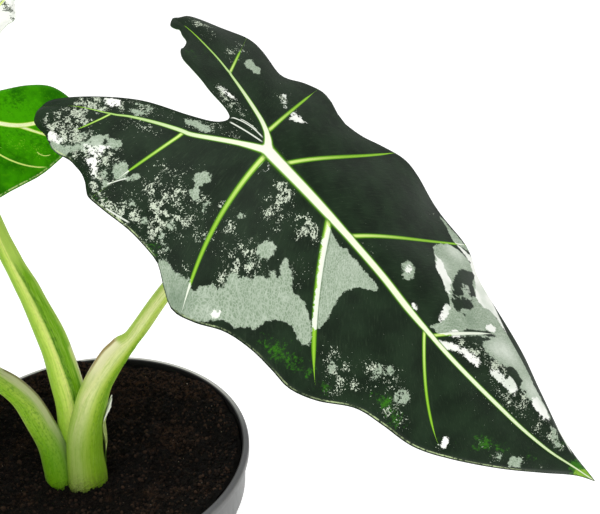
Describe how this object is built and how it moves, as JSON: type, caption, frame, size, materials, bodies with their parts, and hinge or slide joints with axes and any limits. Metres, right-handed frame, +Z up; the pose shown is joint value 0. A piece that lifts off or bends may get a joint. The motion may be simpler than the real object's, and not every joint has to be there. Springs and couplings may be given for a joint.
{
  "type": "potted alocasia",
  "caption": "Living arrow-leaved house plant with variegated, pale-ribbed blades on sheathing stalks, rooted in peat in a plain plastic nursery pot.",
  "frame": {"origin": "centre of the face that the pot stands on", "axes": "+Z up, out of the pot's mouth; +X to the right in the picture, towards the large dark leaf; +Y away from the viewer"},
  "size_m": [0.3194, 0.1553, 0.2638],
  "materials": {
    "pot_plastic": "satin",
    "peat": "matte",
    "corm_bark": "matte",
    "stalk_skin": "satin",
    "dark_blade": "satin",
    "bright_blade": "satin",
    "dry_sheath": "matte"
  },
  "bodies": {
    "root": {"pot": "pot_plastic", "soil": "peat", "corm": "corm_bark", "stalk_front": "stalk_skin", "stalk_back": "stalk_skin", "stalk_low": "stalk_skin", "blade_front": "dark_blade", "blade_green": "bright_blade", "blade_low": "dark_blade", "old_sheath": "dry_sheath"}
  },
  "joints": []
}
